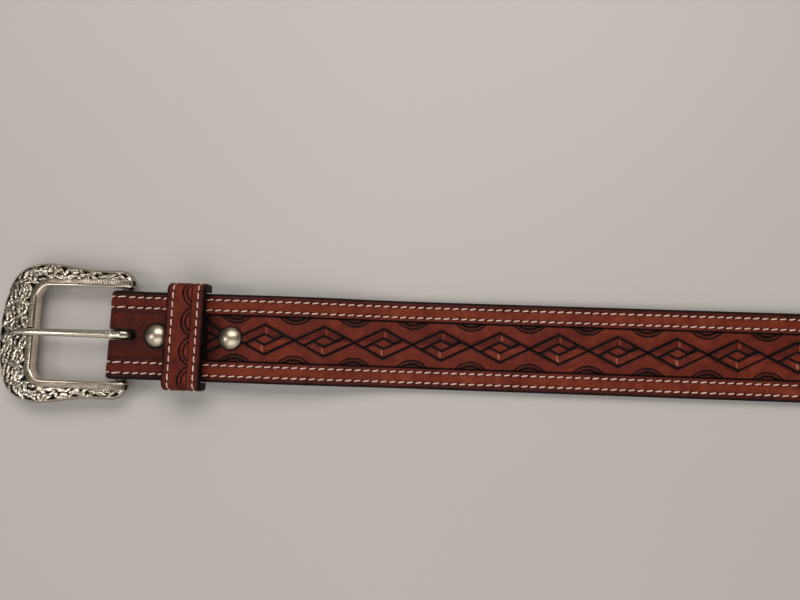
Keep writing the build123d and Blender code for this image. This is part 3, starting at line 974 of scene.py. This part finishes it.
def make_keeper(thread, template):
    """The stamped keeper loop, with its seam underneath, and its two rows of stitches."""
    edge = KEEPER_EDGE * (1 - np.cos(np.linspace(0, np.pi / 2, 4)))
    middle = spread(KEEPER_EDGE, KEEPER_LENGTH - KEEPER_EDGE, GRID_STEP)[1:-1]
    along = np.concatenate((edge, middle, (KEEPER_LENGTH - edge)[::-1]))[:, None]
    reach = KEEPER_ROUND / 2 - KEEPER_SEAM
    along, round_it = np.broadcast_arrays(along, spread(-reach, reach, GRID_STEP))
    relief, tone = keeper_relief(along, round_it)
    upper = keeper_point(along, round_it, -relief)
    cheek = rise(np.abs(round_it), KEEPER_FLAT, KEEPER_FLAT + 0.7 * KEEPER_QUARTER)
    cheek *= fall(np.abs(round_it), KEEPER_UNDER - 0.7 * KEEPER_QUARTER, KEEPER_UNDER)
    lower = keeper_point(along, round_it, KEEPER_THICK + KEEPER_CHEEK * cheek)
    kept = np.ones((along.shape[0] - 1, along.shape[1] - 1), bool)
    place = triples(along + KEEPER_PLACE, round_it, 0.0)
    tones = (tone, np.full(tone.shape, 0.72))
    material = leather_material("keeper_leather", 0.02)
    loop = make_slab("stamped_keeper", upper, lower, kept, material, tones, (place, place))
    finish_piece(loop, "keeper", "keeper_leather", "keeper_loop")

    count = math.floor(2 * reach / STITCH_PITCH)
    centres = (np.arange(count) - (count - 1) / 2) * STITCH_PITCH
    shift = STITCH_PITCH / 2 if count % 2 else 0
    heading = math.pi / 2 + 0.4 * STITCH_SLANT
    for row, name in ((KEEPER_ROW, "front"), (KEEPER_LENGTH - KEEPER_ROW, "rear")):
        places = [(row, centre + shift, heading) for centre in centres[:-1]]
        spots, faces, strand = place_stitches(places, template)
        points = keeper_point(spots[:, 0], spots[:, 1], -spots[:, 2])
        fields = {"strand": strand, "place": spots}
        stitches = make_mesh("keeper_stitches_" + name, points, faces, thread, fields)
        finish_piece(stitches, "keeper", "thread", "keeper_thread_" + name)


# --- buckle

WINDOW_FRONT = -33.0
WINDOW_HALF = 20.4
WINDOW_CORNER = 6.0
FRAME_END = 6.0
FRAME_ARM = FRAME_BACK - FRAME_END
OUTER_POINTS = ((FRAME_FRONT, 0), (-48.4, 18.3), (-42.4, 27.2), (-30, 30.6), (-10, 28.2))
OUTER_POINTS += ((FRAME_ARM, 28.1),)
BOW_STATIONS = (FRAME_FRONT - 0.5, -20.0, FRAME_BACK + 0.5)
BOW_TOP = (5.4, 10.1, 8.9)
BOW_UNDER = (0.3, 5.2, 4.1)
BEAD = 1.15
BEAD_CREST = 0.75
BEAD_DROP = 0.75
ROPE_START = 1.25
ROPE_END = 3.3
ROPE_PITCH = 1.15
ROPE_LEAN = 0.45
FIELD_START = 3.45
STEM_WAVE = 8.5
LEAVES = 100
GOLDEN_SHARE = 0.618
LEAF_HALF = 0.23
RIM = 1.3
RIM_DROP = 1.9
NOTCH_HALF = 1.75
NOTCH_GAP = 0.35
BED_GAP = 0.15
UNDER_RADIUS = 1.2
BAR_RADIUS = 2.0
ROUND_SIDES = 32


def through(stations, heights, at):
    """Heights at some stations of the smooth line through a few known heights."""
    return np.polyval(np.polyfit(stations, heights, len(stations) - 1), at)


def smooth_curve(points, counts):
    """A smooth curve through points, first heading across the belt and last along it."""
    points = np.array(points, float)
    chords = np.linalg.norm(np.diff(points, axis=0), axis=1)
    slopes = np.empty_like(points)
    slopes[1:-1] = (points[2:] - points[:-2]) / (chords[1:] + chords[:-1])[:, None]
    slopes[0] = (0, 1)
    slopes[-1] = (1, 0)
    pieces = []
    for i, count in enumerate(counts):
        t = np.linspace(0, 1, count + 1)[:-1, None]
        start, end = points[i], points[i + 1]
        rise_in, rise_out = slopes[i] * chords[i], slopes[i + 1] * chords[i]
        pieces.append(
            (2 * t**3 - 3 * t**2 + 1) * start + (t**3 - 2 * t**2 + t) * rise_in
            + (3 * t**2 - 2 * t**3) * end + (t**3 - t**2) * rise_out
        )
    return np.concatenate(pieces)


def arc(centre, radius, start, end, count):
    """Points of an arc, without its last, angles in degrees."""
    angles = np.radians(np.linspace(start, end, count + 1)[:-1])
    return np.stack((centre[0] + radius * np.cos(angles), centre[1] + radius * np.sin(angles)), -1)


def line(start, end, count):
    """Points of a line, without its last."""
    return np.linspace(start, end, count + 1)[:-1]


def frame_edges(step):
    """The window's edge and the outer edge, from the middle of the front to an arm's end."""
    counts = [round(length / step) for length in (18.3, 8.0, 8.0, 20.0, 13.5, 8.0)]
    bend = WINDOW_FRONT + WINDOW_CORNER
    low = WINDOW_HALF - WINDOW_CORNER
    arm_point = np.array((FRAME_BACK, WINDOW_HALF))
    inner = np.concatenate((
        line((WINDOW_FRONT, 0), (WINDOW_FRONT, low), counts[0]),
        arc((bend, low), WINDOW_CORNER, 180, 90, counts[1] + counts[2]),
        line((bend, WINDOW_HALF), (FRAME_ARM, WINDOW_HALF), counts[3] + counts[4]),
        line((FRAME_ARM, WINDOW_HALF), arm_point, counts[5]),
        [arm_point],
    ))
    arm_half = OUTER_POINTS[-1][1] - FRAME_END
    outer = np.concatenate((
        smooth_curve(OUTER_POINTS, counts[:5]),
        arc((FRAME_ARM, arm_half), FRAME_END, 90, 0, counts[5]),
        [(FRAME_BACK, arm_half)],
    ))
    return inner, outer


def leaf(run, lateral, base, heading, length, half, bend):
    """A curved leaf with a cut vein: its height from 0 to 1, and where it covers the field."""
    dx, dy = run - base[0], lateral - base[1]
    along = (dx * math.cos(heading) + dy * math.sin(heading)) / length
    off = (dy * math.cos(heading) - dx * math.sin(heading)) / length - bend * along**2
    width = half * np.sin(np.pi * np.clip(along, 0, 1) ** 0.75) + 1e-6
    inside = (along > 0) & (along < 1) & (np.abs(off) < width)
    body = rise(1 - np.abs(off / width), 0.0, 0.55) * (0.5 + 0.5 * along)
    vein = groove(off, 0.04) * (along < 0.8)
    return body * (1 - 0.4 * vein), inside


def engraving(run, lateral):
    """Height from 0 to 1 of the overlapping leaves that flow along the buckle's field."""
    height = np.zeros(run.shape)
    area = np.concatenate(([0], np.cumsum(np.diff(FIELD_RUN) * FIELD_HALF[1:])))
    for i in range(LEAVES):
        at = float(np.interp((i + 0.5) / LEAVES * area[-1], area, FIELD_RUN))
        local = float(np.interp(at, FIELD_RUN, FIELD_HALF))
        aside = local * (1.8 * (GOLDEN_SHARE * i % 1) - 0.9)
        length = 4.4 + 1.1 * math.sin(5.1 * i)
        heading = 0.75 * math.sin(2 * math.pi * at / STEM_WAVE + 0.4 * aside) + math.pi * (i % 3 == 0)
        bend = 0.45 * math.cos(1.7 * i)
        base = (at - 0.5 * length * math.cos(heading), aside - 0.5 * length * math.sin(heading))
        body, inside = leaf(run, lateral, base, heading, length, LEAF_HALF, bend)
        height = np.where(inside, body, height)
    return height


def field_measure(inner, outer):
    """Length along the middle of the buckle's field, and half its width, at each edge point."""
    width = np.linalg.norm(outer - inner, axis=1)
    middle = inner + (outer - inner) * ((FIELD_START + width - RIM) / 2 / width)[:, None]
    steps = np.linalg.norm(np.diff(middle, axis=0), axis=1)
    half = np.clip((width - FIELD_START - RIM) / 2, 0.2, None)
    return np.concatenate(([0], np.cumsum(steps))), half


FRAME_INNER, FRAME_OUTER = frame_edges(0.24)
FIELD_RUN, FIELD_HALF = field_measure(FRAME_INNER, FRAME_OUTER)


def frame_relief(edge_in, edge_out, run):
    """Relief, and the value that darkens the buckle's face, from distances to its edges and along it:
    patina in its cuts and the rope's hollows, and darker towards the outer edge where the rim falls
    away.
    """
    half = (edge_in + edge_out - FIELD_START - RIM) / 2
    lateral = edge_in - FIELD_START - half
    bead_out = 0.3 * dome((edge_in - BEAD_CREST) / (BEAD - BEAD_CREST))
    bead_in = 0.3 - BEAD_DROP * (1 - dome(1 - edge_in / BEAD_CREST))
    bead = np.where(edge_in < BEAD_CREST, bead_in, bead_out)
    in_rope = rise(edge_in, ROPE_START, ROPE_START + 0.25)
    in_rope = in_rope * fall(edge_in, ROPE_END - 0.25, ROPE_END)
    twist = np.sin(2 * np.pi * (run / ROPE_PITCH + edge_in * ROPE_LEAN))
    rope = in_rope * (0.04 + 0.28 * twist)
    in_field = rise(edge_in, FIELD_START - 0.1, FIELD_START + 0.2) * rise(edge_out, RIM - 0.25, RIM)
    cut = engraving(run, lateral)
    stipple = np.sin(run * 7.3 + 1.7 * np.sin(lateral * 3.1))
    stipple *= np.sin(lateral * 8.1 + np.sin(run * 2.3))
    field_relief = -0.45 + 0.5 * cut + 0.07 * stipple * (1 - cut)
    line_cut = groove(edge_in - (FIELD_START - 0.15), 0.22)
    line_cut += groove(edge_in - ROPE_START + 0.05, 0.16)
    relief = bead + rope + field_relief * in_field - 0.25 * line_cut
    relief -= RIM_DROP * (1 - dome(np.clip(1 - edge_out / 2.4, 0, 1)))
    patina_and_shade = 0.9 * in_field * fall(cut, 0.05, 0.45) + 0.6 * line_cut
    patina_and_shade = patina_and_shade + in_rope * (0.42 - 0.42 * twist) + 0.15 * in_field
    patina_and_shade += 0.45 * fall(edge_out, 0.2, 1.5)
    return relief, np.clip(patina_and_shade, 0, 1)


def mirrored(values, flip=1):
    """Values along one half of the frame, led by those of the other half."""
    return np.concatenate((values[:0:-1] * flip, values))


def make_frame(material):
    """The cast buckle frame: bead, rope border, engraved field, and a rim that falls away."""
    inner, outer = mirrored(FRAME_INNER, (1, -1)), mirrored(FRAME_OUTER, (1, -1))
    run = mirrored(FIELD_RUN)
    even = np.linspace(0, 1, 60)[:, None, None]
    parts = even - 0.11 * np.sin(2 * np.pi * even)
    plan = inner + (outer - inner) * parts
    width = np.linalg.norm(outer - inner, axis=1)
    edge_in = parts[..., 0] * width
    edge_out = (1 - parts[..., 0]) * width
    x, y = plan[..., 0], plan[..., 1]
    edge_out = np.minimum(edge_out, FRAME_BACK - x)
    relief, patina_and_shade = frame_relief(edge_in, edge_out, np.broadcast_to(run, edge_in.shape))
    top = through(BOW_STATIONS, BOW_TOP, x) + relief
    notch = (np.abs(y) < NOTCH_HALF) & (x > PRONG_TIP - NOTCH_GAP)
    bed = np.interp(x, PRONG_STATIONS, PRONG_UNDER) - BED_GAP
    top = np.where(notch, np.minimum(top, bed), top)
    under = through(BOW_STATIONS, BOW_UNDER, x)
    under += rounded(np.minimum(edge_in, edge_out), UNDER_RADIUS)
    upper = triples(FOLD_X + x, y, top)
    lower = triples(FOLD_X + x, y, under)
    used, faces = slab(upper, lower, np.ones((len(parts) - 1, len(run) - 1), bool))
    patina_and_shade = both(patina_and_shade, np.full(patina_and_shade.shape, 0.25))[used]
    bar_points, bar_faces, bar_patina_and_shade = bar_mesh(len(used))
    points = np.concatenate((both(upper, lower)[used], bar_points))
    faces = np.concatenate((faces[:, ::-1], bar_faces))
    fields = {"patina_and_shade": np.concatenate((patina_and_shade, bar_patina_and_shade))}
    frame_piece = make_mesh("engraved_frame", points, faces, material, fields)
    finish_piece(frame_piece, "buckle", "engraved_nickel", "buckle_frame")


def bar_mesh(first):
    """The bar that the strap and the prong turn on: its points, faces and values of patina and
    painted shade.
    """
    ends = WINDOW_HALF + np.array((0.1, 1.0))
    y = np.concatenate((-ends[::-1], np.linspace(-20, 20, 41), ends))[:, None]
    angle = circle(ROUND_SIDES)
    x = FOLD_X + BAR_STATION + BAR_RADIUS * np.cos(angle)
    z = BAR_HEIGHT + BAR_RADIUS * np.sin(angle)
    # painted shade: the bar darkens towards its ends, beside the strap's edges
    patina_and_shade = np.repeat(0.1 + 0.8 * rise(np.abs(y), 18.0, 19.5), ROUND_SIDES)
    return triples(x, y, z).reshape(-1, 3), tube_faces(len(y), ROUND_SIDES, first), patina_and_shade


# --- prong

PRONG_STATIONS = (PRONG_TIP, WINDOW_FRONT, -10.0, BAR_STATION)
PRONG_UNDER = (6.2, 7.9, 8.1, 8.5)
PRONG_TOP = (7.9, 9.9, 10.4, 10.3)
PRONG_HOOK_RADIUS = 3.05
PRONG_HOOK_TURN = math.radians(255)
PRONG_HALF_WIDTHS = (1.15, 1.5, 1.75, 2.0)
PRONG_SQUARENESS = 0.86
COLLAR = 0.7


def prong_path(count):
    """Rings of the prong from its tip to its hook: station, height, heading and half sizes."""
    stations = spread(PRONG_TIP, BAR_STATION, 0.35)
    under = through(PRONG_STATIONS, PRONG_UNDER, stations)
    top = through(PRONG_STATIONS, PRONG_TOP, stations)
    middle = (under + top) / 2
    thick = (top - under) / 2
    width_stations = (PRONG_TIP, WINDOW_FRONT, COLLAR, BAR_STATION)
    width = np.interp(stations, width_stations, PRONG_HALF_WIDTHS)
    from_tip = stations - PRONG_TIP
    nose = dome(1 - np.clip(from_tip / 1.5, 0, 1), 0.02)
    collar = 0.22 * rise(stations, COLLAR - 0.3, COLLAR) - 0.16 * groove(stations - COLLAR - 0.9, 0.5)
    collar -= 0.12 * groove(stations - COLLAR + 0.5, 0.6)
    sizes = np.stack((width * nose + collar, thick * nose + 0.6 * collar), -1)
    slope = np.arctan(np.gradient(middle, stations))
    hook = np.linspace(0, PRONG_HOOK_TURN, count)[1:]
    station = np.concatenate((stations, BAR_STATION + PRONG_HOOK_RADIUS * np.sin(hook)))
    height = np.concatenate((middle, BAR_HEIGHT + PRONG_HOOK_RADIUS * np.cos(hook)))
    share = hook / PRONG_HOOK_TURN
    ends = dome(np.clip((share - 0.9) / 0.1, 0, 1), 0.05)
    hook_sizes = np.stack(((2.05 - 0.4 * share) * ends, 0.93 * ends), -1)
    heading = np.concatenate((slope, -hook))
    sizes = np.concatenate((sizes, hook_sizes))
    return station[:, None], height[:, None], heading[:, None], sizes


def make_prong(material):
    """The prong: a polished finger with a collar, bent round the bar at its end."""
    station, height, heading, sizes = prong_path(60)
    angle = circle(ROUND_SIDES)
    out = np.sign(np.cos(angle)) * np.abs(np.cos(angle)) ** PRONG_SQUARENESS
    up = np.sign(np.sin(angle)) * np.abs(np.sin(angle)) ** PRONG_SQUARENESS
    lift = sizes[:, 1:] * up
    x = FOLD_X + station - lift * np.sin(heading)
    points = triples(x, sizes[:, :1] * out, height + lift * np.cos(heading)).reshape(-1, 3)
    # painted shade on the prong's sides and underside, leaving a bright strip along its top as a
    # painted highlight; also darker in the collar's groove
    shade = 0.8 * fall(up, 0.1, 0.75) + 0.55 * groove(station - COLLAR + 0.5, 0.7)
    faces = tube_faces(len(station), ROUND_SIDES)[:, ::-1]
    prong = make_mesh("curved_prong", points, faces, material, {"patina_and_shade": np.clip(shade, 0, 1)})
    finish_piece(prong, "prong", "satin_nickel", "buckle_prong")


# --- studs

STUD_SEGMENTS = 96
BARREL_RADIUS = 2.5
BORE_RADIUS = 1.65
BORE_DEPTH = 5


def make_post(name, material):
    """A domed stud, its rim pressed into the leather, and its barrel with a bore."""
    dome_rise = POST_TOP - FACE - 0.5
    dome_radius = (POST_RADIUS**2 + dome_rise**2) / (2 * dome_rise)
    half_angle = math.asin(POST_RADIUS / dome_radius)
    cap = np.linspace(0.004, half_angle, 22)
    profile = [(dome_radius * math.sin(a), POST_TOP - dome_radius * (1 - math.cos(a))) for a in cap]
    profile[-1] = (POST_RADIUS - 0.05, profile[-1][1] + 0.03)
    profile += [(POST_RADIUS, FACE + 0.38), (POST_RADIUS, FACE - 0.1)]
    profile += [(POST_RADIUS - 0.12, FACE - 0.6), (BARREL_RADIUS, FACE - 0.65)]
    profile += [(BARREL_RADIUS, POST_FOOT), (BORE_RADIUS, POST_FOOT)]
    profile += [(BORE_RADIUS, POST_FOOT + BORE_DEPTH), (0.02, POST_FOOT + BORE_DEPTH)]
    angle = circle(STUD_SEGMENTS)
    radius, z = np.array(profile).T[:, :, None]
    x = FOLD_X + POSTS[name] + POST_RADIUS + radius * np.cos(angle)
    points = triples(x, radius * np.sin(angle), z).reshape(-1, 3)
    # painted shade: a dark ring at the stud's rim, where it meets the leather
    patina_and_shade = np.repeat(0.5 * groove(radius - POST_RADIUS, 0.3), STUD_SEGMENTS)
    faces = tube_faces(len(profile), STUD_SEGMENTS)[:, ::-1]
    post = make_mesh("stud_" + name, points, faces, material, {"patina_and_shade": patina_and_shade})
    finish_piece(post, "strap_end", "satin_nickel", "post_" + name)


def paint_nodes(material, *names):
    """Give CAD nodes that stay as they are a better material."""
    for name in names:
        node = frame["nodes"][name]
        node.data.materials.clear()
        node.data.materials.append(material)


def make_metal():
    """The buckle, prong and studs, and the CAD screws and staple."""
    cast = nickel_material("engraved_nickel", srgb(232, 220, 202), srgb(34, 29, 22), 0.12, 0.006)
    satin = nickel_material("satin_nickel", srgb(222, 212, 194), srgb(40, 34, 26), 0.20, 0.008)
    brushed = nickel_material("brushed_nickel", srgb(196, 184, 162), srgb(54, 46, 36), 0.28, 0.010)
    wire = nickel_material("staple_wire", srgb(190, 186, 178), srgb(70, 66, 60), 0.3, 0.012)
    make_frame(cast)
    make_prong(satin)
    for name in POSTS:
        make_post(name, brushed)
    paint_nodes(brushed, "screw_front", "screw_rear")
    paint_nodes(wire, "keeper_staple")


make_camera()
make_floor()
make_lights()
make_world()
cream, stitch = make_strap()
make_keeper(cream, stitch)
make_metal()
